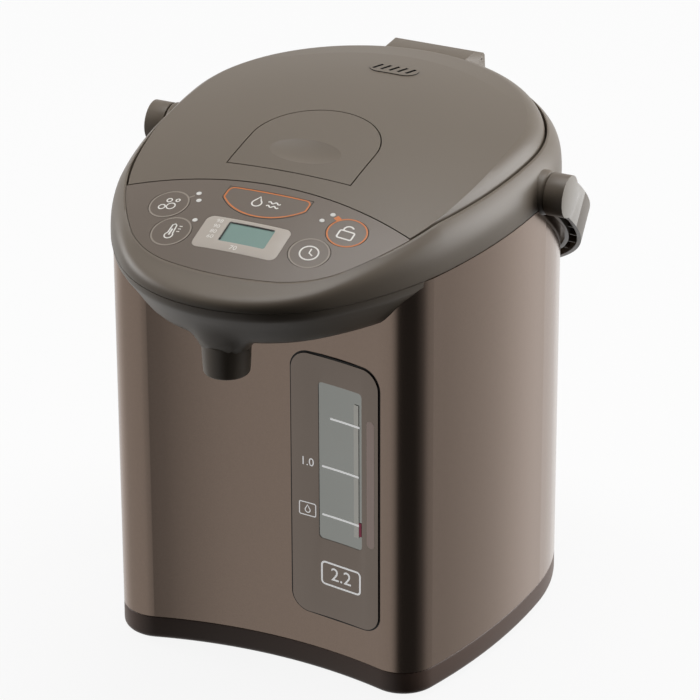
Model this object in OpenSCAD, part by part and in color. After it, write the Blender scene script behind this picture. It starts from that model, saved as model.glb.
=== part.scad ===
// Electric thermo pot: an electrically pumped hot water pot with a hinged lid, a bail handle,
// a push-button panel on its beak and a level window in a hollow front.
// Origin: on the table, under the middle of its whole box. +Z up, the front faces -Y. Millimetres.
// The modules below draw it about the axis of the inner vessel, and home() moves it there.

/* [Body] */
// radius of the round back, about the vessel axis
body_r = 95; // [93:0.5:97]
// radius of the long side curves that run from the back to the front corners
side_r = 296; // [280:1:320]
// radius of the two front corners
corner_r = 18; // [16:0.5:20]
// distance of the corner centres in front of the vessel axis
corner_y = 87.5; // [86:0.5:89]
// depth of the hollow front between the corners
front_sag = 9.3; // [8:0.1:11]
// sleeve sheet thickness, with its stiffening
sleeve_t = 1.2; // [1:0.1:1.4]
// height of the seam between the base and the sleeve
base_z = 14.6; // [13:0.1:16]

/* [Top] */
// height of the seam between the sleeve and the shoulder ring
seam_z = 214; // [213.5:0.1:214.5]
// forward reach of the beak from the vessel axis
beak_tip = 163; // [162:0.5:164]
// radius of the beak's flanks
flank_r = 148.5; // [147:0.5:150]
// width of the shoulder between the outside and the lid opening
shoulder_w = 7.2; // [7:0.1:7.6]
// height of the rim around the lid
rim_z = 235.2; // [235:0.1:235.6]
// height of the top of the dome that lid and panel share
top_z = 250; // [249.5:0.1:250.5]
// radius of that dome
dome_r = 445; // [440:1:450]

/* [Lid] */
// opening angle shown
lid_angle = 0; // [0:1:80]
// gap between the lid and the rim, all round
lid_gap = 0.8; // [0.7:0.1:1]
// half width of the lid lever
lever_w = 30.5; // [29.5:0.5:31]

/* [Handle] */
// angle of the handle shown, from its rest against the back
handle_angle = 0; // [0:1:128]
// how far below level the handle rests
handle_droop = 38; // [37:0.5:39]
// height of the handle's pivots
pivot_z = 219.5; // [219:0.5:220]

/* [Nozzle] */
// distance of the spout in front of the vessel axis
spout_y = 139.5; // [138:0.5:141]
// height of the spout's mouth
spout_z = 173; // [171:1:176]
// outer radius of the spout
spout_r = 11; // [10.5:0.5:11.5]

/* [Vessel] */
// inside radius of the vessel
vessel_r = 70; // [68:0.5:70.5]
// height of the vessel's floor, inside
vessel_z = 62; // [60:1:64]

/* [Hidden] */
$fn = 128;

eps = 0.01;                              // overrun of a cut through a face
far = 400;                               // larger than the pot
dome_c = [0, 4, top_z - dome_r];         // centre of the dome
panel_t = 2;                             // control panel thickness
deck_t = 2.5;                            // floor of the shoulder ring
deck_z = seam_z + deck_t;
panel_y = 45 - beak_tip;                 // middle of the control panel
panel_tilt = asin((4 - panel_y) / dome_r);
seam_r = 230;                            // curve of the seam between lid and panel
seam_y = panel_y + 31.6 - seam_r;
skirt_z = deck_z + 2.5;                  // underside of the lid
lever_y = -50;                           // lever pivot
lever_z = 239;
hinge_y = body_r - 5;                    // lid hinge
hinge_z = 237;
pin_r = 2;                               // hinge pin
run = 0.05;                              // radial play of a running fit
travel = 0.6;                            // button travel
bolt_z = 221.8;                          // underside of the latch bolt
pump_y = -46;                            // pump axis
chamber_x = 37.4;                        // middle of the level window
window_z = 114;                          // middle of the clear window

// Height of the dome over a point
function dome_z(x, y, t = 0) =
    dome_c[2] + sqrt(pow(dome_r - t, 2) - x * x - pow(y - dome_c[1], 2));

// An arc is [centre x, centre y, radius]. Neighbours are tangent, one inside the other.
// What follows from tangency is kept to a hundredth, so that strips of an outline share edges.
function fine(v) = round(v * 100) / 100;
function gap(a, b) = norm([b[0] - a[0], b[1] - a[1]]);
function way(a, b) = [b[0] - a[0], b[1] - a[1]] / gap(a, b) * sign(a[2] - b[2]);
function meet(a, b, d) = fine(a[1] + (a[2] + d) * way(a, b)[1]);
// Centre of an arc of radius r inside arcs a and b, on the side away from the axis
function inner_arc(a, b, r) =
    let (g = gap(a, b), p = abs(a[2] - r), q = abs(b[2] - r),
         s = (p * p - q * q + g * g) / (2 * g), h = sqrt(p * p - s * s),
         u = [b[0] - a[0], b[1] - a[1]] / g)
    [fine(a[0] + s * u[0] - h * u[1]), fine(a[1] + s * u[1] + h * u[0]), r];

back_arc = [0, 0, body_r];
side_arc = [body_r - side_r, 0, side_r];
// the flanks leave the sides where the outline has turned by this much, as cosine and sine
flank_way = [0.96, -0.28];
flank_arc = [side_arc[0] + (side_r - flank_r) * flank_way[0], (side_r - flank_r) * flank_way[1],
    flank_r];
// tip of the beak, tangent to both flanks
beak_r = let (k = beak_tip + flank_arc[1])
    fine((pow(flank_r, 2) - pow(flank_arc[0], 2) - k * k) / (2 * (flank_r - k)));
tip_arc = [0, beak_r - beak_tip, beak_r];
// outline of the shoulder ring with its beak, from back to front
ring_arcs = [back_arc, side_arc, flank_arc, tip_arc];
// outline of the opening for lid and panel
panel_tip = [0, 136 - beak_tip, 120];
panel_corner_r = 48;
rim_arcs = let (f = [flank_arc[0], flank_arc[1], flank_r - shoulder_w])
    [[0, 0, body_r - shoulder_w], [side_arc[0], 0, side_r - shoulder_w], f,
     inner_arc(panel_tip, f, panel_corner_r), panel_tip];

// front corner and hollow front of the body
corner = [fine(side_arc[0] + sqrt(pow(side_r - corner_r, 2) - pow(corner_y, 2))), -corner_y,
    corner_r];
hollow_r = fine((pow(corner[0], 2) + pow(front_sag, 2)) / (2 * front_sag));
hollow_y = fine(-corner_y - sqrt(pow(hollow_r + corner_r, 2) - pow(corner[0], 2)));
// level chamber, behind the hollow front
chamber_y = fine(hollow_y + sqrt(pow(hollow_r, 2) - pow(chamber_x, 2))) + 8.7;

// The strip of an outline that one arc and its mirror image bound, from y1 down to y0
module strip(a, y0, y1) {
    if (a[0] <= 0)
        intersection() {
            translate([a[0], a[1]]) circle(a[2], $fn = 256);
            translate([-a[0], a[1]]) circle(a[2], $fn = 256);
            translate([-far / 2, y0]) square([far, y1 - y0]);
        }
    else {
        translate([-a[0], y0]) square([2 * a[0], y1 - y0]);
        for (s = [-1, 1]) intersection() {
            translate([s * a[0], a[1]]) circle(a[2]);
            translate([s > 0 ? a[0] : -far, y0]) square([far - (s > 0 ? 0 : a[0]), y1 - y0]);
        }
    }
}

// Closed outline of a list of arcs, grown by d
module outline(arcs, d = 0) {
    n = len(arcs);
    for (i = [0 : n - 1])
        strip([arcs[i][0], arcs[i][1], arcs[i][2] + d],
              i == n - 1 ? -far / 2 : meet(arcs[i], arcs[i + 1], d),
              i == 0 ? far / 2 : meet(arcs[i - 1], arcs[i], d));
}

// Outline of the body, grown by d
module body_2d(d = 0) {
    y1 = meet(side_arc, corner, d);
    f = [0, hollow_y, hollow_r - d];
    u = [corner[0], corner[1] - hollow_y] / (hollow_r + corner_r);
    t = [fine(f[2] * u[0]), fine(f[1] + f[2] * u[1])];
    strip([0, 0, body_r + d], 0, far / 2);
    strip([side_arc[0], 0, side_r + d], y1, 0);
    difference() {
        translate([-t[0], t[1]]) square([2 * t[0], y1 - t[1]]);
        translate([0, f[1]]) circle(f[2]);
    }
    for (s = [-1, 1]) intersection() {
        translate([s * corner[0], corner[1]]) circle(corner_r + d);
        translate([s > 0 ? t[0] : -far, -far / 2]) square([far - (s > 0 ? 0 : t[0]), far / 2 + y1]);
    }
}

// Where the seam of two neighbouring arcs crosses the plane x = v. It runs through both centres.
function seam_at(a, b, v) = let (w = way(a, b)) b[1] + (v - b[0]) * w[1] / w[0];

// What the first arcs of an outline bound, up to the last one named: a profile with x = 0 on the
// outline, turned about each arc's centre and kept between the seams of that arc
module slices(arcs, last) {
    for (i = [0 : last]) {
        y1 = [for (v = [30, far]) i == 0 ? far : seam_at(arcs[i - 1], arcs[i], v)];
        y0 = [for (v = [30, far]) i == last ? -2 * far : seam_at(arcs[i], arcs[i + 1], v)];
        intersection() {
            turned(arcs[i], 1) children();
            if (arcs[i][0] != 0) turned(arcs[i], -1) children();
            prism(150, 300) polygon([[-far, y1[1]], [-30, y1[0]], [30, y1[0]], [far, y1[1]],
                [far, y0[1]], [30, y0[0]], [-30, y0[0]], [-far, y0[1]]]);
        }
    }
}
// The profile turned about one arc's centre, or its mirror image
module turned(a, s) translate([s * a[0], a[1], 0]) rotate_extrude($fn = 256) intersection() {
    translate([a[2], 0]) children();
    translate([0, 150]) square([a[2] + 10, 150]);
}

module prism(z0, z1) translate([0, 0, z0]) linear_extrude(z1 - z0) children();
module dome(t = 0) translate(dome_c) rotate([90, 0, 0]) sphere(dome_r - t, $fn = 256);
module rounded(w, h, r) {
    square([w - 2 * r, h], center = true);
    square([w, h - 2 * r], center = true);
    for (x = [-1, 1], y = [-1, 1]) translate([x * (w / 2 - r), y * (h / 2 - r)]) circle(r, $fn = 48);
}
// Upright rod and rod along X
module rod(r, z0, z1) translate([0, 0, z0]) cylinder(r = r, h = z1 - z0);
module rod_x(r, x0, x1) translate([x0, 0, 0]) rotate([0, 90, 0]) cylinder(r = r, h = x1 - x0);

// ---- base and body ----

motor_r = 15;
pump_z = 30;                             // underside of the pump case
pump_lug = 21.5;                         // its posts, from the pump axis
feet = [for (y = [5.5 - corner_y, body_r - 37], s = [-1, 1]) [s * (y < 0 ? body_r - 39 : y), y]];
foot_r = 9;

module foot(i) color("dimgray") translate(feet[i]) difference() {
    union() {
        rod(foot_r, 0, 2.6);
        rod(foot_r - 3, 2.6 - eps, 3.4);
    }
    translate([0, 0, -eps]) rod(2.4, 0, 1.6);
}

module bottom_plate() color("saddlebrown") difference() {
    union() {
        prism(2.6, 5) body_2d(-3.4);
        // motor socket and pump posts
        translate([0, pump_y, 0]) {
            difference() {
                rod(motor_r + 2.5, 5 - eps, 9);
                rod(motor_r + 0.1, 4, 10);
            }
            for (a = [45, 225]) rotate(a) translate([pump_lug, 0, 0]) rod(3.5, 5 - eps, pump_z);
        }
        for (x = [-40, 40], y = [20, 60]) translate([x, y, 0]) rod(3.5, 5 - eps, 12);
    }
    for (f = feet) translate(f) rod(foot_r - 2.9, 2, 3.5);
    for (x = [-24 : 8 : 24]) translate([x - 1.5, body_r - 29, 0]) cube([3, 14, 20]);
}

module base_ring() color("saddlebrown") difference() {
    union() {
        prism(2.2, base_z) body_2d(0);
        prism(base_z - eps, base_z + 4) body_2d(-sleeve_t - 0.2);
    }
    prism(0, base_z + 5) body_2d(-3.2);
}

module sleeve_cut() {
    translate([chamber_x - 2.6, 0, 100]) rotate([90, 0, 0])
        linear_extrude(200) rounded(40, 128, 6);
    translate([chamber_x - 17, chamber_y - 28.5, 194]) cube([34, 60, 30]);
    translate([-17, body_r - 15, 30]) cube([34, 30, 26]);
}

module body_sleeve() color("rosybrown") difference() {
    prism(base_z + 0.1, seam_z - 0.1) body_2d(0);
    prism(base_z - 1, seam_z + 1) body_2d(-sleeve_t);
    sleeve_cut();
}

module power_inlet() color("black") difference() {
    union() {
        intersection() {
            translate([-16.8, body_r - 19, 30.2]) cube([33.6, 30, 25.6]);
            rod(body_r + 0.4, 0, 80);
        }
        intersection() {
            translate([-20, body_r - 19, 27]) cube([40, 30, 32]);
            difference() {
                rod(body_r - sleeve_t - 0.2, 0, 80);
                rod(body_r - sleeve_t - 2.2, 0, 80);
            }
        }
    }
    translate([-13, body_r - 7, 34]) cube([26, 20, 18]);
    for (x = [-7, 7]) translate([x - 1.5, body_r - 25, 41]) cube([3, 12, 4]);
}

// ---- shoulder ring and beak ----

shoulder_z = 218.8;                      // where the shoulder starts to round
shoulder_r = 21.8;
boss_r = 10.5;
boss_x = body_r + 2;
pivot_r = 4;                             // handle pivots
pivot_x = [body_r - 5.4, body_r + 9];
lug_w = 12;                              // half width of the hinge lug, and its rounding
lug_r = 4;
bolt_y = panel_y + 32.4;                 // nose of the latch bolt, drawn back
bolt = [24, lever_y + 14 - bolt_y, 4.4];
throw = 3.6;                             // its way into the keeper

// Outside of the ring with its rounded shoulder
module loaf() slices(ring_arcs, 3) difference() {
    translate([-far, seam_z]) square([far, rim_z - seam_z]);
    difference() {
        translate([-12, shoulder_z]) square([14, 30]);
        translate([-shoulder_r, shoulder_z]) circle(shoulder_r);
    }
}

module shoulder_ring() color("dimgray") difference() {
    union() {
        difference() {
            intersection() {
                loaf();
                dome();
            }
            // lid well
            prism(deck_z, rim_z + 1) difference() {
                outline(rim_arcs);
                translate([0, seam_y]) circle(seam_r - 1.2, $fn = 256);
            }
            // space under the panel, and the seat of the panel itself
            prism(deck_z, rim_z + 20) intersection() {
                outline(rim_arcs, -2);
                translate([0, seam_y]) circle(seam_r - 3.4, $fn = 256);
            }
            difference() {
                prism(deck_z, rim_z + 20) intersection() {
                    outline(rim_arcs);
                    translate([0, seam_y]) circle(seam_r, $fn = 256);
                }
                dome(panel_t);
            }
            // groove that keeps the shoulder thin
            difference() {
                prism(seam_z - 1, 225) outline(ring_arcs, -2.4);
                prism(seam_z - 2, 226) outline(ring_arcs, -4.8);
                translate([-far / 2, -far - 80, 200]) cube([far, far, 40]);
            }
        }
        // hinge lug
        translate([0, hinge_y, hinge_z]) rod_x(lug_r, -lug_w, lug_w);
        translate([-lug_w, hinge_y - lug_r, deck_z])
            cube([2 * lug_w, 2 * lug_r, hinge_z - deck_z]);
        // handle bosses
        for (m = [0, 1]) mirror([m, 0, 0])
            translate([0, 0, pivot_z]) rod_x(boss_r, body_r - 4, boss_x);
    }
    // bosses stand clear of the sleeve
    prism(seam_z - 20, seam_z) body_2d(0.15);
    // mouth over the vessel
    rod(vessel_r + 1.4, seam_z - 1, deck_z + 1);
    // room for the hinge cheeks
    for (m = [0, 1]) mirror([m, 0, 0]) translate([lug_w, hinge_y, hinge_z]) {
        rod_x(10.6, 0, 17.4);
        translate([0, -8, 0]) cube([17.4, 20, 20]);
    }
    translate([0, hinge_y, hinge_z]) rod_x(pin_r, -lug_w - 1, lug_w + 1);
    for (m = [0, 1]) mirror([m, 0, 0]) translate([0, 0, pivot_z])
        rod_x(pivot_r + run, pivot_x[0], boss_x + 1);
    // keeper slot of the latch
    translate([-bolt[0] / 2 - 0.6, bolt_y - 6.4, bolt_z - 0.5]) cube([bolt[0] + 1.2, 12, bolt[2] + 1]);
}

chin_z = 192;

module nozzle_cover() color("dimgray") difference() {
    union() {
        intersection() {
            // sloping chin
            slices(ring_arcs, 3) polygon([
                [-far, chin_z], [-15, chin_z], [-10, chin_z + 5], [-5, seam_z - 9],
                [-0.3, seam_z - 3], [-0.3, seam_z - 0.15], [-far, seam_z - 0.15]]);
            translate([-far / 2, -far, 0]) cube([far, far - corner_y + 8, far]);
        }
        translate([0, -spout_y, 0]) rod(spout_r, spout_z, chin_z + 6);
    }
    // hollow inside, stepped along the chin
    for (h = [[2.2, 7.1, -18.8], [7, 13.1, -12.6], [13, 30, -8]])
        difference() {
            prism(chin_z + h[0], chin_z + h[1]) outline(ring_arcs, h[2]);
            translate([-far / 2, -corner_y - 6, 0]) cube([far, far, far]);
        }
    translate([0, -spout_y, 0]) rod(spout_r - 2.2, spout_z - 1, seam_z);
    // fits against the body
    prism(chin_z - 20, seam_z + 1) body_2d(0.2);
}

// ---- control panel ----

panel_z = dome_z(0, panel_y);
key_r = 9.4;
unlock_at = [43.3, panel_y + 12.6];
timer_at = [33.2, panel_y - 5.3];
boil_at = [-42.8, panel_y + 9.2];
warm_at = [-33.2, panel_y - 8.2];
dispense_y = panel_y + 19;               // stem of the large button
keys = [unlock_at, timer_at, boil_at, warm_at];
lamp_r = 1.2;
lamps_left = [[-32.4, panel_y + 18.5], [-30.1, panel_y + 13.7], [-25.6, panel_y + 0.6]];
lamps_right = [[29.6, panel_y + 15.9], [32.5, panel_y + 21.2]];
board_w = -9.5;                          // top of the board, under the panel's face
posts = [57.2, panel_y + 14];            // its posts
switch_h = 2.2;
bezel = [41.4, 20.4, 3.5];               // display frame
bezel_y = panel_y - 5;
glass = [22.6, 12.6, 1];                 // display window
glass_at = [1.8, panel_y - 3.2];

// Frame on the dome over a point, with Z along the buttons' travel
module on_dome(x, y) translate([x, y, dome_z(x, y)]) rotate([panel_tilt, 0, 0]) children();
// How far that point lies below the panel's middle, along the travel
function drop(x, y) =
    (y - panel_y) * sin(panel_tilt) - (dome_z(x, y) - panel_z) * cos(panel_tilt);
// Layer of the dome from depth a to depth b, inside a plan shape
module layer(a, b) intersection() {
    prism(200, 260) children();
    difference() {
        dome(a);
        dome(b);
    }
}

module dispense_2d(d = 0) intersection() {
    translate([-20.5 - d, panel_y + 6]) square([41 + 2 * d, 20.4 + d]);
    translate([0, panel_y + 34.5]) circle(26 + d);
}

module control_panel() color("gray") difference() {
    union() {
        layer(0, panel_t - 0.1) intersection() {
            outline(rim_arcs, -0.12);
            translate([0, seam_y]) circle(seam_r - 0.12, $fn = 256);
        }
        // posts of the board
        for (x = [-posts[0], posts[0]]) on_dome(x, posts[1]) rod(3, board_w + drop(x, posts[1]), -1);
    }
    prism(200, 260) dispense_2d(0.3);
    for (k = keys) on_dome(k[0], k[1]) rod(key_r + 0.3, -8, 8);
    for (k = concat(lamps_left, lamps_right)) on_dome(k[0], k[1]) rod(lamp_r + 0.1, -8, 8);
    // seat and window of the display
    layer(-2, 1) translate([0, bezel_y]) rounded(bezel[0] + 0.2, bezel[1] + 0.2, bezel[2]);
    prism(200, 260) translate(glass_at) rounded(glass[0] + 2, glass[1] + 2, glass[2]);
}

// Stem from under a button down to just over its switch
module stem(x, y) on_dome(x, y)
    rod(2.2, board_w + drop(x, y) + switch_h + travel + 0.1, -2.3);

module dispense_button() color("gray") {
    layer(0, 2.4) dispense_2d();
    layer(2.2, 3.4) dispense_2d(1);
    stem(0, dispense_y);
}

module key(at) color("gray") {
    intersection() {
        on_dome(at[0], at[1]) rod(key_r, -5, 4);
        layer(0, 2.4) translate(at) circle(key_r + 4);
    }
    intersection() {
        on_dome(at[0], at[1]) rod(key_r + 0.7, -6, 2);
        layer(2.2, 3.4) translate(at) circle(key_r + 4);
    }
    stem(at[0], at[1]);
}

module lcd_bezel() color("tan") difference() {
    layer(0, 1) translate([0, bezel_y]) rounded(bezel[0], bezel[1], bezel[2]);
    prism(200, 260) translate(glass_at) rounded(glass[0], glass[1], glass[2]);
}

module lcd_glass() color("darkseagreen") {
    layer(0.2, 2.2) translate(glass_at) rounded(glass[0] - 0.1, glass[1] - 0.1, glass[2]);
    layer(2, 4) translate(glass_at) rounded(glass[0] + 5, glass[1] + 5, glass[2]);
}

// Clear pegs joined by a bar under the panel
module light_guide(pegs) color("white") {
    for (k = pegs) intersection() {
        on_dome(k[0], k[1]) rod(lamp_r, -6, 4);
        layer(-0.1, 3.4) translate(k) circle(4);
    }
    for (i = [1 : len(pegs) - 1]) {
        a = pegs[i - 1];
        b = pegs[i];
        layer(2.2, 3.4) translate(a) rotate(atan2(b[1] - a[1], b[0] - a[0]))
            translate([0, -lamp_r]) square([norm(b - a), 2 * lamp_r]);
    }
}

module control_board() color("green") {
    intersection() {
        on_dome(0, panel_y) translate([-60, -17, board_w - 1.6]) cube([120, 44, 1.6]);
        prism(200, 260) intersection() {
            outline(rim_arcs, -2.6);
            translate([0, seam_y]) circle(seam_r - 4, $fn = 256);
        }
    }
    for (k = concat(keys, [[0, dispense_y]])) on_dome(k[0], k[1])
        rod(3, board_w + drop(k[0], k[1]) - eps, board_w + drop(k[0], k[1]) + switch_h);
}

// ---- lid ----

round_r = 12;                            // rounding of the lid's edge
round_z = 231.8;
round_a = 9.7;                           // where that slope starts
lid_t = 2.5;                             // lid wall
tray_z = 233;                            // floor of the lever's pocket
vent_at = [0.5, 40.5];
vent = [24, 13, 6.3];

module on_lid() translate([0, hinge_y, hinge_z]) rotate([-lid_angle, 0, 0])
    translate([0, -hinge_y, -hinge_z]) children();

module lid_2d(d = 0, front = 0) difference() {
    outline(rim_arcs, -lid_gap - d);
    translate([0, seam_y]) circle(seam_r + 0.6 + d + front, $fn = 256);
}

// Domed and rounded block, d inside the lid's outside. Its edge runs on into the dome at a slope.
module crown(d = 0) difference() {
    intersection() {
        slices(rim_arcs, 2) translate([-lid_gap, 0]) difference() {
            z0 = skirt_z - (d > 0 ? 1 : 0);
            translate([-far - d, z0]) square([far, 260 - z0]);
            translate([-round_r, round_z]) difference() {
                u = [sin(round_a), cos(round_a)];
                p = (round_r - d) * u;
                polygon([[0, 0], [20, 0], [20, 30], [p[0] - 24, 30], p + 24 * [-u[1], u[0]], p]);
                circle(round_r - d);
            }
        }
        dome(d);
    }
    // front, set back below the panel's edge
    prism(seam_z - 14, 231) translate([0, seam_y]) circle(seam_r + 1.8 + d, $fn = 256);
    prism(230, 260) translate([0, seam_y]) circle(seam_r + 0.6 + d, $fn = 256);
}

module lever_2d(d = 0) {
    translate([-lever_w - d, lever_y - 24.2 - d]) square([2 * (lever_w + d), 26.2 + d]);
    intersection() {
        translate([0, lever_y + 2]) circle(lever_w + d);
        translate([-60, lever_y + 2]) square([120, 60]);
    }
}

module lid_shell() color("gray") on_lid() difference() {
    union() {
        difference() {
            crown();
            crown(lid_t);
        }
        // pocket of the lever
        intersection() {
            prism(tray_z - 2.4, 260) lever_2d(3);
            crown();
        }
    }
    prism(tray_z, 260) lever_2d(0.6);
    // way through for the lever's tongue, the lever pin and the bolt
    translate([-5, lever_y - 4, tray_z - 3]) cube([10, 10, 4]);
    translate([0, lever_y, lever_z]) rod_x(1.5, -lever_w - 3, lever_w + 3);
    translate([-bolt[0] / 2 - 0.3, bolt_y - 6.4, bolt_z - 0.3])
        cube([bolt[0] + 0.6, 12, bolt[2] + 0.6]);
    prism(230, 260) translate(vent_at) rounded(vent[0] + 0.2, vent[1] + 0.2, vent[2] + 0.1);
    // room for the hinge lug
    translate([-lug_w - 0.7, hinge_y - 6.5, 200]) cube([2 * lug_w + 1.4, 20, 60]);
}

module lid_base() color("darkgray") on_lid() difference() {
    union() {
        prism(skirt_z, skirt_z + 2.5) lid_2d(lid_t + 0.1, 1.2);
        rod(58, skirt_z - 5, skirt_z + 1);
        // rails of the latch bolt, with lips over it
        for (m = [0, 1]) mirror([m, 0, 0]) translate([bolt[0] / 2 + 0.3, bolt_y + 7.6, 0]) {
            translate([0, 0, skirt_z + 2]) cube([2.7, 42, 8]);
            translate([-2.2, 0, bolt_z + bolt[2] + 0.3]) cube([3, 42, 2]);
        }
        // steam chimney
        translate(vent_at) rod(6, skirt_z, top_z - 7);
    }
    rod(55.5, skirt_z - 6, skirt_z - 1);
    translate(vent_at) rod(4.2, skirt_z - 6, top_z - 6);
    translate([-lug_w - 0.7, hinge_y - 6.5, 200]) cube([2 * lug_w + 1.4, 20, 60]);
}

module lid_gasket() color("white") on_lid() difference() {
    rod(73.5, deck_z + 0.95, skirt_z);
    rod(62, deck_z - 1, skirt_z + 1);
}

module lid_lever() color("gray") on_lid() difference() {
    union() {
        layer(0, 3) lever_2d();
        for (x = [-26, 22]) translate([x, lever_y, 0]) {
            translate([0, 0, lever_z]) rod_x(3.6, 0, 4);
            translate([0, -3.6, lever_z]) cube([4, 7.2, 5]);
        }
        // tongue into the bolt
        translate([-4, lever_y - 2.5, bolt_z + 0.5])
            cube([8, 5, dome_z(0, lever_y, 2) - bolt_z - 0.5]);
        translate([0, lever_y, lever_z]) rod_x(3.6, -4, 4);
    }
    translate([0, lever_y, lever_z]) rod_x(1.5 + run, -40, 40);
    // thumb dimple
    translate([0, lever_y - 11, dome_z(0, lever_y - 11) + 34]) scale([1.9, 1, 1]) sphere(35.2, $fn = 64);
}

module lever_pin() color("silver") on_lid() translate([0, lever_y, lever_z])
    rod_x(1.5, -lever_w - 2.8, lever_w + 2.8);

// Stored drawn back. The pocket leaves the tongue its swing, and the bolt its throw.
module latch_bolt() color("dimgray") on_lid() difference() {
    translate([-bolt[0] / 2, bolt_y, bolt_z]) cube(bolt);
    translate([-4.4, lever_y - 3, bolt_z - 1]) cube([8.8, 6 + throw, bolt[2] + 2]);
}

module steam_vent() color("dimgray") on_lid() difference() {
    union() {
        layer(-0.4, lid_t + 0.1) translate(vent_at) rounded(vent[0], vent[1], vent[2]);
        layer(lid_t + 0.05, lid_t + 1) translate(vent_at) rounded(vent[0] + 3, vent[1] + 3, vent[2] + 1);
    }
    for (i = [-2 : 2]) translate([vent_at[0] + i * 4.2, vent_at[1], 230])
        rotate(-18) translate([-0.8, -3.6, 0]) cube([1.6, 7.2, 30]);
}

module hinge_block() color("gray") on_lid() difference() {
    intersection() {
        translate([0, hinge_y + 8, hinge_z]) rotate([90, 0, 0]) linear_extrude(21) polygon([
            [-28.4, -6], [28.4, -6], [28.4, -3.5], [20.8, 5.6], [-20.8, 5.6], [-28.4, -3.5]]);
        rod(body_r + 2.5, 200, 260);
    }
    crown();
    // room for the lug, under a cover that turns over it
    translate([-lug_w - 0.5, hinge_y - 6.5, 200])
        cube([2 * lug_w + 1, 20, hinge_z + lug_r + 0.4 - 200]);
    translate([0, hinge_y, hinge_z]) rod_x(pin_r + run, -24, 24);
}

module hinge_pin() color("silver") translate([0, hinge_y, hinge_z]) rod_x(pin_r, -23.5, 23.5);

// ---- handle ----

handle_x = body_r + 11.5;                // outside of its arms
handle_reach = body_r + 44;              // from the pivots to the outside of the grip
handle_c = 65;                           // centre of an arm's curve, beyond the axis
handle_r = handle_x + handle_c;
handle_end = (pow(handle_c, 2) - pow(handle_r - handle_reach, 2)) / (2 * (handle_r - handle_reach));
handle_arcs = [[-handle_c, 0, handle_r], [0, -handle_end, handle_reach - handle_end]];
handle_a = atan2(-handle_end, handle_c); // where the arm runs into the grip
handle_t = 8;
handle_h = 17;
hub_r = 10;

// Bail of the handle in its own plane, hollow from below. Each half's curves start where they meet.
module bail() mirror([0, 1, 0]) for (m = [0, 1]) mirror([m, 0, 0]) {
    for (i = [0, 1]) translate([handle_arcs[i][0], handle_arcs[i][1], 0]) rotate(handle_a)
        rotate_extrude(angle = i == 0 ? -handle_a : -90.01 - handle_a)
            translate([handle_arcs[i][2], 0]) difference() {
                translate([-handle_t, -handle_h / 2]) square([handle_t, handle_h]);
                translate([2 - handle_t, -handle_h / 2 - 1]) square([handle_t - 4, handle_h - 2]);
            }
    for (k = [1 : 5]) translate([-handle_c, 0, 0]) rotate(k * handle_a / 6)
        translate([handle_r - handle_t + 1, -0.6, 2 - handle_h / 2])
            cube([handle_t - 2, 1.2, handle_h - 4]);
}

module handle() color("gray")
    translate([0, 0, pivot_z]) rotate([handle_angle - handle_droop, 0, 0]) difference() {
        union() {
            difference() {
                bail();
                for (m = [0, 1]) mirror([m, 0, 0]) rod_x(hub_r - 1, body_r - 5, handle_x + 10);
            }
            for (m = [0, 1]) mirror([m, 0, 0]) rod_x(hub_r, boss_x + 0.3, handle_x);
        }
        for (m = [0, 1]) mirror([m, 0, 0]) rod_x(pivot_r + run, body_r - 5, pivot_x[1] + 0.5);
    }

module pivot_pin() color("silver") translate([0, 0, pivot_z])
    rod_x(pivot_r, pivot_x[0] + 0.1, pivot_x[1]);

// ---- level window ----

module front_layer(r0, r1) intersection() {
    translate([0, hollow_y, 0]) difference() {
        rod(hollow_r + r1, 0, 240);
        rod(hollow_r + r0, -1, 241);
    }
    rotate([90, 0, 0]) linear_extrude(200) children();
}
clear = [23.4, 80.5, 2];

module window_frame() color("dimgray") difference() {
    union() {
        front_layer(-0.75, -0.05) translate([chamber_x - 2.6, 100]) rounded(46.8, 134, 9);
        front_layer(-0.06, sleeve_t + 1.2) translate([chamber_x - 2.6, 100]) rounded(39.8, 127.8, 5.9);
    }
    front_layer(-3, 8) translate([chamber_x, window_z]) rounded(clear[0], clear[1], clear[2]);
}

module window_glass() color("darkseagreen") {
    front_layer(-0.5, 1.3) translate([chamber_x, window_z])
        rounded(clear[0] - 0.1, clear[1] - 0.1, clear[2]);
}

module level_chamber() color("lightcyan") translate([chamber_x, chamber_y, 0]) difference() {
    union() {
        prism(64, 192) rounded(20, 8, 3);
        rod(3.5, 56, 65);
        rod(3.5, 191, 198);
    }
    prism(66, 190) rounded(17, 5, 1.5);
    rod(2.3, 55, 67);
    rod(2.3, 189, 199);
}

// ---- water path and works ----

hose = [5, 3.55];                        // outside and inside radius
nipple = [3.5, 2.3];
bend = 7;                                // radius of the hoses' bends
pump_out = 37.5;                         // height of the pump's outlet
spill_z = 205;                           // height of the hose to the spout

module elbow(r) rotate_extrude(angle = 90) translate([bend, 0]) circle(r, $fn = 48);

module vessel() color("silver") difference() {
    union() {
        rod(vessel_r + 0.8, vessel_z - 0.8, deck_z + 0.9);
        rod(vessel_r + 5, deck_z + 0.4, deck_z + 0.9);
        translate([0, pump_y, 0]) rod(nipple[0], vessel_z - 8, vessel_z);
    }
    rod(vessel_r, vessel_z, deck_z + 2);
    translate([0, pump_y, 0]) rod(nipple[1], vessel_z - 9, vessel_z + 1);
}

module vessel_seal() color("white") difference() {
    rod(vessel_r + 5, deck_z, deck_z + 0.4);
    rod(vessel_r + 0.9, deck_z - 1, deck_z + 1);
}

module heater() color("silver") translate([0, 10, 0]) difference() {
    rod(40, vessel_z - 3.6, vessel_z - 0.8);
    rod(12, vessel_z - 5, vessel_z);
}

module band_heater() color("peru") difference() {
    rod(vessel_r + 2.3, vessel_z + 6, vessel_z + 34);
    rod(vessel_r + 0.85, vessel_z + 5, vessel_z + 35);
    translate([-4, 60, vessel_z]) cube([8, 20, 40]);
}

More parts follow.
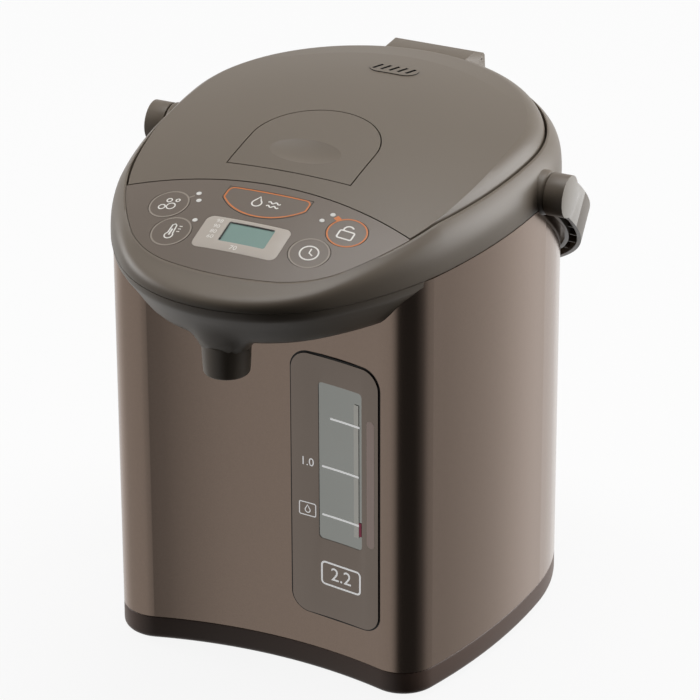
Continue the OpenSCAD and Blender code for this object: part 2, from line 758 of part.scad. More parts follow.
module thermostat() color("ivory") translate([0, 34, 0]) {
    rod(8, vessel_z - 9, vessel_z - 3.6);
    translate([-14, -1.5, vessel_z - 9]) cube([28, 3, 1]);
}

module drain_tube() color("ivory") translate([0, pump_y, 0]) difference() {
    rod(hose[0], pump_z + 16, vessel_z - 1);
    rod(hose[1], pump_z + 15, vessel_z);
}

module pump_case() color("ivory") translate([0, pump_y, 0]) difference() {
    union() {
        difference() {
            union() {
                rod(18, pump_z, pump_z + 14);
                rod(nipple[0], pump_z + 13, pump_z + 22);
                translate([0, 0, pump_out]) rod_x(nipple[0], 10, 28);
                for (a = [45, 225]) rotate(a) translate([16, -4, pump_z]) cube([9, 8, 3]);
            }
            rod(15.5, pump_z + 2, pump_z + 12);
        }
        // bearing pin of the impeller
        rod(1.5, pump_z + 1, pump_z + 8);
    }
    rod(nipple[1], pump_z + 11, pump_z + 23);
    translate([0, 0, pump_out]) rod_x(nipple[1], 12, 29);
    for (a = [45, 225]) rotate(a) translate([pump_lug, 0, 0]) rod(1.6, pump_z - 1, pump_z + 4);
}

module impeller() color("white") translate([0, pump_y, pump_z]) difference() {
    union() {
        rod(12, 2.6, 5);
        rod(4, 2.6, 9.6);
        for (i = [0 : 5]) rotate(i * 60) translate([3, -0.8, 4.5]) cube([10, 1.6, 5]);
    }
    rod(1.5 + run, 2, 8.5);
}

module motor() color("silver") translate([0, pump_y, 0]) difference() {
    rod(motor_r, 5, pump_z - 3.6);
    rod(1.5 + run, 12, pump_z);
}

module drive_magnet() color("black") translate([0, pump_y, 0]) {
    rod(12, pump_z - 3, pump_z - 0.6);
    rod(1.5, 12.5, pump_z - 2);
}

// From the pump's outlet round and up to the foot of the level chamber
module riser(r, over) translate([0, pump_y, pump_out]) {
    back = pump_y - chamber_y;
    rod_x(r, 18.5 - over, chamber_x - bend);
    translate([chamber_x - bend, -bend, 0]) elbow(r);
    translate([chamber_x, -bend, 0]) rotate([90, 0, 0]) cylinder(r = r, h = back - 2 * bend, $fn = 48);
    translate([chamber_x, bend - back, bend]) rotate([90, 0, -90]) rotate(-90) elbow(r);
    translate([chamber_x, -back, 0]) rod(r, bend, 63.8 - pump_out + over);
}

module riser_tube() color("ivory") difference() {
    riser(hose[0], 0);
    riser(hose[1], 1);
}

// From the head of the level chamber over to the spout and down into it
module delivery(r, over) translate([chamber_x, chamber_y, 0]) {
    d = [-chamber_x, -spout_y - chamber_y];
    rotate(atan2(d[1], d[0])) {
        rod(r, 192.2 - over, spill_z - bend);
        translate([bend, 0, spill_z - bend]) rotate([90, 0, 0]) rotate(90) elbow(r);
        translate([0, 0, spill_z]) rod_x(r, bend, norm(d) - bend);
        translate([norm(d) - bend, 0, spill_z - bend]) rotate([90, 0, 0]) elbow(r);
        translate([norm(d), 0, 0]) rod(r, spout_z + 3 - over, spill_z - bend);
    }
}

module delivery_tube() color("ivory") difference() {
    delivery(hose[0], 0);
    delivery(hose[1], 1);
}

module power_board() color("green") {
    translate([-46, 14, 12]) cube([92, 52, 1.6]);
    translate([-36, 24, 13.6 - eps]) cube([26, 24, 18]);
    translate([0, 22, 13.6 - eps]) cube([16, 12, 14]);
    for (x = [8, 22]) translate([x, 50, 0]) rod(5, 13.6 - eps, 32);
    translate([34, 24, 13.6 - eps]) cube([3, 30, 20]);
}

// The middle of the whole length, from the beak to the handle, goes over the origin
home_y = fine((beak_tip - handle_reach * cos(handle_droop) - handle_h / 2 * sin(handle_droop)) / 2);
module home() translate([0, home_y, 0]) children();

home() bottom_plate();
home() foot(0);  // foot_front_left
home() foot(1);  // foot_front_right
home() foot(2);  // foot_rear_left
home() foot(3);  // foot_rear_right
home() base_ring();
home() body_sleeve();
home() shoulder_ring();
home() nozzle_cover();
home() control_panel();
home() dispense_button();
home() key(unlock_at);  // unlock_button
home() key(timer_at);  // timer_button
home() key(boil_at);  // boil_button
home() key(warm_at);  // warm_button
home() lcd_bezel();
home() lcd_glass();
home() light_guide(lamps_left);  // light_guide_left
home() light_guide(lamps_right);  // light_guide_right
home() control_board();
home() lid_shell();
home() lid_base();
home() lid_gasket();
home() lid_lever();
home() lever_pin();
home() latch_bolt();
home() steam_vent();
home() hinge_block();
home() hinge_pin();
home() handle();
home() mirror([1, 0, 0]) pivot_pin();  // pivot_pin_left
home() pivot_pin();  // pivot_pin_right
home() window_frame();
home() window_glass();
home() level_chamber();
home() vessel();
home() vessel_seal();
home() heater();
home() band_heater();
home() thermostat();
home() drain_tube();
home() pump_case();
home() impeller();
home() motor();
home() drive_magnet();
home() riser_tube();
home() delivery_tube();
home() power_board();
home() power_inlet();
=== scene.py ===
# %% [markdown]
# # Dressing an electric thermo pot
# The pot is a household machine that keeps water hot and pumps it out of a spout. The construction
# (every solid, hinge and button) comes from the imported frame. These cells give it its looks: camera
# first, then the finishes, then the rounded shells, the prints, and last the room and its light.
# A pot can be dressed by hand in Blender's window, but a script dresses it again, in the same way,
# after each change to the construction. The first cell loads the frame. The vessel is round, so its
# middle gives the axis of the pot.

# %% Load the frame
import math

import bpy
from mathutils import Matrix, Vector


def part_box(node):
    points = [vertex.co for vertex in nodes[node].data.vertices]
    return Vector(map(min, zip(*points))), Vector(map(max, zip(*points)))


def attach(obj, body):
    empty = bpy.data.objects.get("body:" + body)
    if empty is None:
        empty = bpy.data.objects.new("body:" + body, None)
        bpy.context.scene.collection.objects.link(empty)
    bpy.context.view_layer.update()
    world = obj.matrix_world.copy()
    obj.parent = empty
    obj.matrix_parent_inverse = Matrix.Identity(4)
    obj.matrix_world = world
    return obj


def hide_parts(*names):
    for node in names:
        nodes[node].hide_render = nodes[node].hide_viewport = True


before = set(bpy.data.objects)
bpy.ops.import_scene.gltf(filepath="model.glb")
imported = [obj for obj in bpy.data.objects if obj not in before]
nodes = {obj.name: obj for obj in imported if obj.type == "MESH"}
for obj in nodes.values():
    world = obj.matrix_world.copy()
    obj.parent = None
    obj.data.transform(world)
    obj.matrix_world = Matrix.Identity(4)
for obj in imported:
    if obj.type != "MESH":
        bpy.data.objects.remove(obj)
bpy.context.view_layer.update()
MM = 0.001
low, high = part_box("vessel")
AXIS_Y = (low[1] + high[1]) / 2
print("the vessel's axis lies behind the origin by", round(AXIS_Y / MM, 2), "mm")

# %% [markdown]
# ## Camera
# The pot is seen from a little to its right and above, with a long lens, so its sides stay nearly
# parallel. A camera can be moved by hand until the view fits. Here three angles, a target and a
# distance of two metres place it, because each of them can be corrected on its own. The focal
# length is counted in pixels of the picture and turned to mm of the sensor.

# %% Set up the camera
AZIMUTH, ELEVATION, ROLL = (math.radians(a) for a in (25.0, 26.7, -0.3))
TARGET = Vector((0, AXIS_Y - 20.2 * MM, 125.85 * MM))
DISTANCE = 2.0467
FOCAL_PIXELS, PICTURE_PIXELS, SENSOR_WIDTH = 4343.02, 700, 36
back = Vector((math.sin(AZIMUTH) * math.cos(ELEVATION), -math.cos(AZIMUTH) * math.cos(ELEVATION),
               math.sin(ELEVATION)))
right = Vector((math.cos(AZIMUTH), math.sin(AZIMUTH), 0))
up = back.cross(right)
rolled_right = right * math.cos(ROLL) + up * math.sin(ROLL)
rolled_up = up * math.cos(ROLL) - right * math.sin(ROLL)
place = Matrix((rolled_right, rolled_up, back)).transposed().to_4x4()
place.translation = TARGET + back * DISTANCE
bpy.ops.object.camera_add()
camera = bpy.context.object
camera.matrix_world = place
camera.data.sensor_width = SENSOR_WIDTH
camera.data.lens = FOCAL_PIXELS / PICTURE_PIXELS * SENSOR_WIDTH
camera.data.shift_x, camera.data.shift_y = 0.0138, 0.0075
camera.data.clip_end = 50
bpy.context.scene.camera = camera
print("camera at", [round(v, 4) for v in place.translation], "lens", round(camera.data.lens, 1))

# %% [markdown]
# ## Nodes in one helper
# A finish is a small graph of shader nodes. It can be wired by hand in the shader editor. Here one
# function adds a node, sets its properties and fills its inputs, with a number or with another
# node's output, so that a finish reads as a short list. Colours are written the way a colour picker
# shows them, and one function turns them to the linear values that light works in. Patterns lie on
# Object coordinates, in metres from the origin, so their scale comes from a size in mm.

# %% Material helpers
def linear(code):
    """A picker's hex colour as linear red, green, blue and alpha."""
    parts = [int(code[i:i + 2], 16) / 255 for i in (1, 3, 5)]
    return [c / 12.92 if c <= 0.04045 else ((c + 0.055) / 1.055) ** 2.4 for c in parts] + [1]


def add(tree, kind, inputs=(), **properties):
    """Adds a node, sets its properties and fills its inputs."""
    made = tree.nodes.new(kind)
    for name, value in properties.items():
        setattr(made, name, value)
    for name, value in dict(inputs).items():
        if isinstance(value, bpy.types.NodeSocket):
            tree.links.new(value, made.inputs[name])
        else:
            made.inputs[name].default_value = value
    return made


def new_material(name):
    """An empty material and its tree."""
    made = bpy.data.materials.new(name)
    made.use_nodes = True
    made.node_tree.nodes.clear()
    return made, made.node_tree


def per_mm(size):
    """A texture's scale for features of this size in mm."""
    return 1 / MM / size


print("the middle grey #808080 in linear light", round(linear("#808080")[0], 3))

# %% [markdown]
# ## Satin ABS
# Lid, ring, panel and handle are moulded ABS. The mould is etched to a fine grain, so the plastic
# shows a soft sheen and no sharp reflection. Roughness alone could give the sheen, but a surface
# that is the same all over looks drawn, so a bump adds the grain. A real grain is 0.1 mm, too fine
# to show from two metres: it is drawn at 0.5 mm. A slow mottle of 40 mm stands for uneven gloss.

# %% Satin ABS
GRAIN, GRAIN_DEPTH, MOTTLE = 0.5, 0.2, 40
ABS_IOR = 1.53


def satin_abs(name, code, roughness=0.42, grain=0.035):
    """Moulded plastic with an etched grain, in a colour and a gloss that waver a little."""
    made, tree = new_material(name)
    where = add(tree, "ShaderNodeTexCoord").outputs["Object"]
    mottle = add(tree, "ShaderNodeTexNoise", {
        "Vector": where, "Scale": per_mm(MOTTLE), "Detail": 2.0})
    value = add(tree, "ShaderNodeMapRange", {
        "Value": mottle.outputs[0], "To Min": 0.97, "To Max": 1.03})
    shade = add(tree, "ShaderNodeHueSaturation", {
        "Color": linear(code), "Value": value.outputs[0]})
    gloss = add(tree, "ShaderNodeMapRange", {
        "Value": mottle.outputs[0], "To Min": roughness - 0.03, "To Max": roughness + 0.03})
    etch = add(tree, "ShaderNodeTexNoise", {"Vector": where, "Scale": per_mm(GRAIN), "Detail": 1.0})
    bump = add(tree, "ShaderNodeBump", {
        "Height": etch.outputs[0], "Strength": grain, "Distance": GRAIN_DEPTH * MM})
    shader = add(tree, "ShaderNodeBsdfPrincipled", {
        "Base Color": shade.outputs[0], "Roughness": gloss.outputs[0], "IOR": ABS_IOR,
        "Normal": bump.outputs[0]})
    add(tree, "ShaderNodeOutputMaterial", {"Surface": shader.outputs[0]})
    return made


# a warm grey brown that takes a wide, dull highlight
taupe_abs = satin_abs("moulded ABS, etched satin taupe", "#756A5D")
# the same colour from a finer mould, so its highlight is a little tighter
panel_abs = satin_abs("moulded ABS, smooth satin taupe", "#766A5F", 0.34, 0.015)
# softer plastics with a slightly waxy look
# the base's brown is painted a little lighter than its own: painted light, since the floor throws no
# light back on it
base_pp = satin_abs("moulded polypropylene, dark brown", "#6B564B", 0.45)
# charcoal for the bolt, inlet and magnet, and painted shade in the steam vent's slots
charcoal_pp_and_painted_shade = satin_abs("moulded polypropylene, charcoal", "#23211F", 0.5)
white_pp = satin_abs("moulded polypropylene, natural white", "#D9D6CC", 0.4)
print("plastics", [m.name for m in (taupe_abs, panel_abs, base_pp, charcoal_pp_and_painted_shade, white_pp)])

# %% [markdown]
# ## Metallic lacquer
# The sleeve is steel sheet under a brown lacquer full of aluminium flakes, with a clear coat over
# it. Flakes lie almost flat, so the lacquer mirrors the room in a wide blur. Two mixed shaders
# could do it too, but the principled shader has both layers: its metallic part gives the blur, its
# coat the clear layer. A flake is 0.05 mm, too fine to show: the sparkle is drawn at 0.6 mm.

# %% Metallic lacquer
FLAKE = 0.6
lacquer, tree = new_material("metallic lacquer on steel sheet, brown")
where = add(tree, "ShaderNodeTexCoord").outputs["Object"]
flakes = add(tree, "ShaderNodeTexVoronoi", {"Vector": where, "Scale": per_mm(FLAKE)})
sparkle = add(tree, "ShaderNodeMapRange", {
    "Value": flakes.outputs["Color"], "To Min": 0.96, "To Max": 1.04})
tint = add(tree, "ShaderNodeHueSaturation", {
    "Color": linear("#A08C7E"), "Value": sparkle.outputs[0]})
shader = add(tree, "ShaderNodeBsdfPrincipled", {
    "Base Color": tint.outputs[0], "Metallic": 1.0, "Roughness": 0.24, "Coat Weight": 0.3,
    "Coat Roughness": 0.1})
add(tree, "ShaderNodeOutputMaterial", {"Surface": shader.outputs[0]})
print(lacquer.name, "nodes", len(tree.nodes))

# %% [markdown]
# ## Metals, rubbers and boards
# These stuffs have no pattern that shows from two metres, yet none is quite even. One function
# gives such a finish: a noise lets colour and gloss waver by a few percent, in patches of a given
# size. A plain colour would be quicker, but it looks like paper in a large highlight.

# %% Metals, rubbers and boards
def plain(name, code, roughness, metallic=0.0, speck=1.0, change=0.03, more=()):
    """A finish whose colour and gloss waver a little, in patches of so many mm."""
    made, tree = new_material(name)
    where = add(tree, "ShaderNodeTexCoord").outputs["Object"]
    noise = add(tree, "ShaderNodeTexNoise", {
        "Vector": where, "Scale": per_mm(speck), "Detail": 2.0})
    value = add(tree, "ShaderNodeMapRange", {
        "Value": noise.outputs[0], "To Min": 1 - change, "To Max": 1 + change})
    shade = add(tree, "ShaderNodeHueSaturation", {
        "Color": linear(code), "Value": value.outputs[0]})
    gloss = add(tree, "ShaderNodeMapRange", {
        "Value": noise.outputs[0], "To Min": roughness * (1 - change),
        "To Max": roughness * (1 + change)})
    shader = add(tree, "ShaderNodeBsdfPrincipled", {
        "Base Color": shade.outputs[0], "Roughness": gloss.outputs[0], "Metallic": metallic,
        **dict(more)})
    add(tree, "ShaderNodeOutputMaterial", {"Surface": shader.outputs[0]})
    return made


# fine brush marks blur what the steel mirrors
brushed = plain("stainless steel, satin brushed", "#B9B7B2", 0.28, 1.0, 0.8)
# the skin of a casting is dull, with paler and darker spots
cast = plain("aluminium, as cast", "#A9A8A4", 0.5, 1.0, 2.0, 0.06)
# creamy white, almost without shine
silicone = plain("silicone rubber, moulded white", "#D8D5CB", 0.5)
# black and matt
rubber = plain("rubber, moulded black", "#1B1A19", 0.65)
# green lacquer over woven glass, rather shiny
board = plain("fibreglass board, green solder mask", "#1F5B3A", 0.3, 0.0, 2)
print("finishes", [m.name for m in (brushed, cast, silicone, rubber, board)])

# %% [markdown]
# ## Window, display and trim
# Behind the smoked window lie clear plastic and the bright steel vessel. Real depth could be shown
# with glass shaders, but those need many samples and an inside that is lit. A thin pane over metal
# looks like dull, tinted metal under a clear coat, and that is what these finishes are.

# %% Window, display and trim
# satin paint, the lightest part of the panel
bezel_abs = plain("moulded ABS, painted light taupe", "#C6BCB1", 0.35, 0.0, 20)
# a metallic print seen through polished plastic: deep, with a sharp gloss on top
smoke = plain("acrylic, printed metallic brown on its back", "#94867B", 0.25, 0.85, 30, 0.04,
              {"Coat Weight": 0.4})
# the vessel seen through a clear strip: dull silver
level = plain("acrylic, polished, over the steel vessel", "#C2C4BE", 0.2, 0.75, 30, 0.03,
              {"Coat Weight": 0.4})
# a display with nothing on it: grey green under a smooth film
display = plain("liquid crystal display, polarised grey green", "#8DA8A0", 0.2, 0.0, 12, 0.04)
# bright dots where light comes through
lens = plain("acrylic light guide, polished", "#F2EFEA", 0.15, 0.0, 5)
# smoother than the handle round it, and painted lighter: a painted highlight where the side lamps
# fall on the plates
cap_abs_painted_light = plain("moulded ABS, polished taupe", "#A39A8E", 0.2, 0.0, 20, more={"Coat Weight": 0.5})
print("finishes", [m.name for m in (bezel_abs, smoke, level, display, lens, cap_abs_painted_light)])

# %% [markdown]
# ## Finishes on the solids that stay
# Each solid that stays as it was built gets its finish by name. A table of finish and names is
# easier to check than one line for each solid. The steam vent's slots lie in shade inside. Its mesh
# stays as built, so all its faces that don't look up get a second, charcoal finish: painted shade.

# %% Finishes on the solids that stay
FINISH = {
    taupe_abs: ["lid_shell", "lid_lever", "steam_vent"],
    panel_abs: ["control_panel", "dispense_button", "unlock_button", "timer_button",
                "boil_button", "warm_button"],
    base_pp: ["bottom_plate"],
    charcoal_pp_and_painted_shade: ["latch_bolt", "power_inlet", "drive_magnet"],
    white_pp: ["lid_base", "pump_case", "impeller"],
    lacquer: ["body_sleeve"],
    brushed: ["vessel", "lever_pin", "hinge_pin", "pivot_pin_left", "pivot_pin_right", "motor",
              "thermostat"],
    cast: ["heater", "band_heater"],
    silicone: ["lid_gasket", "vessel_seal", "drain_tube", "riser_tube", "delivery_tube"],
    rubber: ["foot_front_left", "foot_front_right", "foot_rear_left", "foot_rear_right"],
    level: ["window_glass", "level_chamber"],
    display: ["lcd_glass"],
    lens: ["light_guide_left", "light_guide_right"],
    board: ["control_board", "power_board"],
}
LOOKS_UP = 0.8
for made, names in FINISH.items():
    for name in names:
        nodes[name].data.materials.clear()
        nodes[name].data.materials.append(made)
# painted shade: the vent's faces that don't look up get charcoal, since the slots lie in shade
vent = nodes["steam_vent"].data
vent.materials.append(charcoal_pp_and_painted_shade)
for face in vent.polygons:
    face.material_index = int(face.normal.z < LOOKS_UP)
print("solids with a finish", sum(len(v) for v in FINISH.values()), "of", len(nodes))

# %% [markdown]
# ## Places
# All sizes below are in mm about the vessel's axis, as on a drawing. Metres from the origin would
# need no helper, but a drawing's numbers are easier to read. Lid and panel lie on one large ball,
# the dome, so one function gives the height of both.

# %% Places
DOME_R, DOME_Y, DOME_Z = 445, 4, -195


def metres(x, y, z):
    """A point given in mm about the vessel's axis."""
    return Vector((x * MM, y * MM + AXIS_Y, z * MM))


def dome_z(x, y):
    """Height of the dome that lid and panel share."""
    return DOME_Z + math.sqrt(DOME_R ** 2 - x * x - (y - DOME_Y) ** 2)


print("height of the dome over the axis in mm", round(dome_z(0, 0), 2))

# %% [markdown]
# ## The way a piece is finished
# Every new piece gets a name, smooth shading up to an edge angle, a finish, and the body that it
# moves with, and it says which solids it stands for. One function does all of that, so that no
# piece can lack a part of it. Operators act on all that is selected, so a piece is selected alone
# before each of them.

# %% Finishing helpers
def alone(piece):
    """Selects one object and nothing else."""
    bpy.ops.object.select_all(action="DESELECT")
    piece.select_set(True)
    bpy.context.view_layer.objects.active = piece


def edit_all(piece):
    """Opens a piece in edit mode with all of it selected."""
    alone(piece)
    bpy.ops.object.mode_set(mode="EDIT")
    bpy.ops.mesh.select_all(action="SELECT")


def modified(piece, kind, **settings):
    """Adds a modifier, sets it and applies it."""
    alone(piece)
    change = piece.modifiers.new("change", kind)
    for name, value in settings.items():
        setattr(change, name, value)
    bpy.ops.object.modifier_apply(modifier=change.name)
    return piece


def dress(piece, name, body, made, stands_for=(), sharp=35):
    """Names a piece, shades it, gives it its finish, hands it to its body and hides the nodes that it
    stands for.
    """
    piece.name = name
    alone(piece)
    bpy.ops.object.shade_smooth_by_angle(angle=math.radians(sharp))
    piece.data.materials.clear()
    piece.data.materials.append(made)
    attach(piece, body)
    for node in stands_for:
        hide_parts(node)
    print(name, "faces", len(piece.data.polygons))
    return piece


# %% [markdown]
# ## Outlines from arcs
# In plan the pot's outlines are chains of arcs that run into each other. A curve object could be
# drawn over them, but its points would lie where the curve likes. Here points are spread over each
# arc, with the outward direction at each, on one half from the back to the front. The other half
# is its mirror image.

# %% Outlines from arcs
def arc(x, y, radius, start, end, steps, side=1):
    """Points on an arc from one angle towards another, each with its outward direction."""
    turns = [math.radians(start + (end - start) * i / steps) for i in range(steps)]
    return [(x + radius * math.cos(a), y + radius * math.sin(a), side * math.cos(a),
             side * math.sin(a)) for a in turns]


def both_halves(half):
    """Closes a half outline with its mirror image."""
    return half + [(-x, y, -out_x, out_y) for x, y, out_x, out_y in half[-2:0:-1]]


RING = both_halves(arc(0, 0, 95, 90, 0, 40) + arc(-201, 0, 296, 0, -16.26, 10)
                   + arc(-59.4, -41.3, 148.5, -16.26, -41.43, 18)
                   + arc(0, -93.73, 69.27, -41.43, -90, 24) + [(0, -163, 0, -1)])
RIM = both_halves(arc(0, 0, 87.8, 90, 0, 40) + arc(-201, 0, 288.8, 0, -16.26, 10)
                  + arc(-59.4, -41.3, 141.3, -16.26, -36.95, 18)
                  + arc(15.16, -97.39, 48, -36.95, -77.85, 14)
                  + arc(0, -27, 120, -77.85, -90, 10) + [(0, -147, 0, -1)])
BODY = both_halves(arc(0, 0, 95, 90, 0, 40) + arc(-201, 0, 296, 0, -18.35, 12)
                   + arc(62.87, -87.5, 18, -18.35, -105.5, 18)
                   + arc(0, -314.09, 217.15, 74.5, 90, 14, -1) + [(0, -96.94, 0, -1)])
print("points on ring, rim and body", len(RING), len(RIM), len(BODY))

# %% [markdown]
# ## Shells between outlines
# A shell is a row of sections, one at each point of an outline, and neighbouring sections are
# joined by faces. No operator carries a section that changes on its way, so the points are laid
# out by a formula, and the operators only merge them and turn the faces outwards.

# %% Shell from sections
MERGE_GAP = 1e-6


def from_points(points, faces, edges=()):
    """An object from points in metres."""
    mesh = bpy.data.meshes.new("piece")
    mesh.from_pydata(points, edges, faces)
    piece = bpy.data.objects.new("piece", mesh)
    bpy.context.collection.objects.link(piece)
    return piece


def outwards(piece):
    """Merges doubles and turns every face outwards."""
    edit_all(piece)
    bpy.ops.mesh.remove_doubles(threshold=MERGE_GAP)
    bpy.ops.mesh.normals_make_consistent(inside=False)
    bpy.ops.object.mode_set(mode="OBJECT")
    return piece


def shell(sections, closed=True):
    """Faces between neighbouring sections. Each section is a loop of points in mm."""
    n, m = len(sections), len(sections[0])
    faces = [[i * m + j, i * m + (j + 1) % m, (i + 1) % n * m + (j + 1) % m, (i + 1) % n * m + j]
             for i in range(n if closed else n - 1) for j in range(m)]
    if not closed:
        faces += [list(range(m)), list(range((n - 1) * m, n * m))]
    return outwards(from_points([metres(*p) for section in sections for p in section], faces))


print("way round the ring in mm", round(sum(
    math.dist(a[:2], b[:2]) for a, b in zip(RING, RING[1:] + RING[:1]))))

# %% [markdown]
# ## Shoulder ring
# The ring rolls over from the sleeve to the lid, tight beside the lid and wide over the beak, where
# it falls away from the panel's edge. A bevel has the same width all round, so it can't do that.
# The section is a soft curve whose two ends have a given slope: upright at the seam, and sloping
# away at the rim, less so over the beak.

# %% Rolled section of the ring
SEAM_Z, RIM_Z, RIM_EDGE = 214, 235, 0.3
BEAK_START, BEAK_LENGTH = -83, 40
RIM_SLOPE, FLATTER_OVER_BEAK = 42, 15
UPRIGHT_PART, MORE_OVER_BEAK = 0.55, 0.15
LONGEST_PULL, PULL_PART, ROLL_STEPS = 8, 0.75, 16


def bezier(points, steps):
    """Points on a cubic curve with four control points."""
    spread = []
    for i in range(steps + 1):
        t = i / steps
        weights = ((1 - t) ** 3, 3 * t * (1 - t) ** 2, 3 * t * t * (1 - t), t ** 3)
        spread.append([sum(w * p[k] for w, p in zip(weights, points)) for k in (0, 1)])
    return spread


def roll(outer, inner):
    """Section of the ring between a point of its outline and one of the rim."""
    width = math.hypot(inner[0] - outer[0], inner[1] - outer[1])
    out = [(outer[k] - inner[k]) / width for k in (0, 1)]
    start, top = SEAM_Z + 1, min(RIM_Z, dome_z(inner[0], inner[1]))
    front = max(0, min(1, (BEAK_START - inner[1]) / BEAK_LENGTH))
    slope = math.radians(RIM_SLOPE - FLATTER_OVER_BEAK * front)
    pull = min(LONGEST_PULL, PULL_PART * width / math.cos(slope))
    upright = (UPRIGHT_PART + MORE_OVER_BEAK * front) * (top - start)
    foot = [(0.55, SEAM_Z), (0.15, SEAM_Z + 0.2)]
    curve = bezier([(0, start), (0, start + upright),
                    (width - RIM_EDGE - pull * math.cos(slope), top - pull * math.sin(slope)),
                    (width - RIM_EDGE, top)], ROLL_STEPS)
    wall = [(width - 0.08, top - 0.15), (width, top - 0.5), (width, SEAM_Z)]
    return [(outer[0] - out[0] * u, outer[1] - out[1] * u, z) for u, z in foot + curve + wall]


ring = shell([roll(outer, inner) for outer, inner in zip(RING, RIM)])
print("ring height in mm", round(max(v.co.z for v in ring.data.vertices) / MM, 2))

# %% [markdown]
# ## Hinge pockets
# The hinge of the lid turns in two round pockets at the back of the ring. Cutting them face by face
# in edit mode would break up the shell's even rows, so a boolean modifier with two rods does it.

# %% Hinge pockets
HINGE_Y, HINGE_Z = 90, 237
POCKET_R, POCKET_LENGTH, POCKET_X = 10.6, 17.4, 20.7
for side in (-1, 1):
    bpy.ops.mesh.primitive_cylinder_add(
        vertices=64, radius=POCKET_R * MM, depth=POCKET_LENGTH * MM,
        location=metres(side * POCKET_X, HINGE_Y, HINGE_Z), rotation=(0, math.pi / 2, 0))
    rod = bpy.context.object
    modified(ring, "BOOLEAN", object=rod, operation="DIFFERENCE", solver="EXACT")
    bpy.data.objects.remove(rod)
print("ring's faces with the pockets", len(ring.data.polygons))

# %% [markdown]
# ## The well under the lid
# Inside the rim the ring goes down to the vessel, and a lug between the pockets holds the hinge's
# pin. Both stay as constructed. They could be built again, but the solid has them already: a merged
# copy loses all faces that the rolled section replaces, and joins the ring.

# %% The well under the lid
RIM_GAP = 0.3
LUG_X, LUG_Y, LUG_Z = 12.05, 4.1, SEAM_Z + 3


def merged_copy(node):
    """A copy of a solid whose triangles are merged to one surface."""
    piece = nodes[node].copy()
    piece.data = nodes[node].data.copy()
    bpy.context.collection.objects.link(piece)
    edit_all(piece)
    bpy.ops.mesh.remove_doubles(threshold=MERGE_GAP)
    bpy.ops.object.mode_set(mode="OBJECT")
    return piece


def inside(x, y, loop):
    """Whether a point in plan lies inside a loop."""
    crossings = 0
    for a, b in zip(loop, loop[1:] + loop[:1]):
        if (a[1] > y) != (b[1] > y) and x < (b[0] - a[0]) * (y - a[1]) / (b[1] - a[1]) + a[0]:
            crossings += 1
    return crossings % 2 == 1


well = merged_copy("shoulder_ring")
bpy.context.tool_settings.mesh_select_mode = (False, False, True)
clear_of_rim = [(x - RIM_GAP * out_x, y - RIM_GAP * out_y) for x, y, out_x, out_y in RIM]
for face in well.data.polygons:
    x, y, z = face.center.x / MM, (face.center.y - AXIS_Y) / MM, face.center.z / MM
    lug = abs(x) < LUG_X and abs(y - HINGE_Y) < LUG_Y and z > LUG_Z
    face.select = not (lug or inside(x, y, clear_of_rim))
bpy.ops.object.mode_set(mode="EDIT")
bpy.ops.mesh.delete(type="FACE")
bpy.ops.object.mode_set(mode="OBJECT")
bpy.context.tool_settings.mesh_select_mode = (True, False, False)
alone(ring)
well.select_set(True)
bpy.ops.object.join()
dress(ring, "shoulder_ring_rolled", "pot", taupe_abs, ["shoulder_ring"], sharp=50)

# %% [markdown]
# ## Turned pieces
# A boss or a spout is round, as if turned on a lathe. Loops of a cylinder could be scaled one by
# one. A profile of radius and height that the spin operator turns about an axis gives the small
# roundings too, with no more work.

# %% Turning helpers
SPIN_STEPS = 96


def turned(profile, centre, tilt=0):
    """Spins a profile about an upright axis, tilts it about Y and sets it at a centre, in mm."""
    piece = from_points([Vector((r, 0, z)) * MM for r, z in profile], [],
                        [(i, i + 1) for i in range(len(profile) - 1)])
    edit_all(piece)
    bpy.ops.mesh.spin(steps=SPIN_STEPS, angle=2 * math.pi, center=(0, 0, 0), axis=(0, 0, 1))
    bpy.ops.object.mode_set(mode="OBJECT")
    outwards(piece)
    piece.data.transform(Matrix.Rotation(math.radians(tilt), 4, "Y"))
    piece.data.transform(Matrix.Translation(metres(*centre)))
    return piece


def rounding(r, z, size, start, end, steps=6):
    """Profile points round a corner whose rounding has its centre at r, z."""
    return [p[:2] for p in arc(r, z, size, start, end, steps) + arc(r, z, size, end, end, 1)]


print("points round a square corner", len(rounding(0, 0, 1, 0, 90)))

# %% [markdown]
# ## Handle bosses
# Where the handle is pinned, a round boss stands out of each side of the ring. It is turned upright
# and then tilted to lie across the pot. Its rim is rounded by 2.2 mm, so that it catches a line of
# light as the real moulding does.

# %% Handle bosses
PIVOT_Z, BOSS_X, BOSS_R, BOSS_LENGTH, BOSS_ROUND = 219.5, 97, 10.5, 6, 2.2
BOSS = ([(0, -BOSS_LENGTH), (BOSS_R, -BOSS_LENGTH)]
        + rounding(BOSS_R - BOSS_ROUND, -BOSS_ROUND, BOSS_ROUND, 0, 90) + [(0, 0)])
for name, side in (("left", -1), ("right", 1)):
    boss = turned(BOSS, (side * BOSS_X, 0, PIVOT_Z), 90 * side)
    dress(boss, "handle_boss_" + name, "pot", taupe_abs)

# %% [markdown]
# ## Chin
# Under the beak a sloping chin runs down and draws in to the spout. A sculpting brush could pull it
# down there. The chin is a shell along the front of the ring's outline, and a soft curve pulls its
# points down near the spout, so that it flows into the spout in the same way at each run.

# %% Chin
SPOUT_Y, SPOUT_R = -139.5, 11
CHIN = [(0.35, 213.85), (0.5, 211.2), (2.2, 208.4), (4.6, 205.2), (6.9, 201.8), (9.2, 198.3),
        (11.4, 195.4), (13.4, 193.4), (15.6, 192.3), (18, 192)]
CHIN_TOP, CHIN_BACK, CHIN_FRONT_OF, NARROWING, UNDER_STEPS = 213.85, -88, -86, 0.35, 16
PULL_REACH, PULL_DEPTH, PULL_BELOW = 6.5, 7, 206


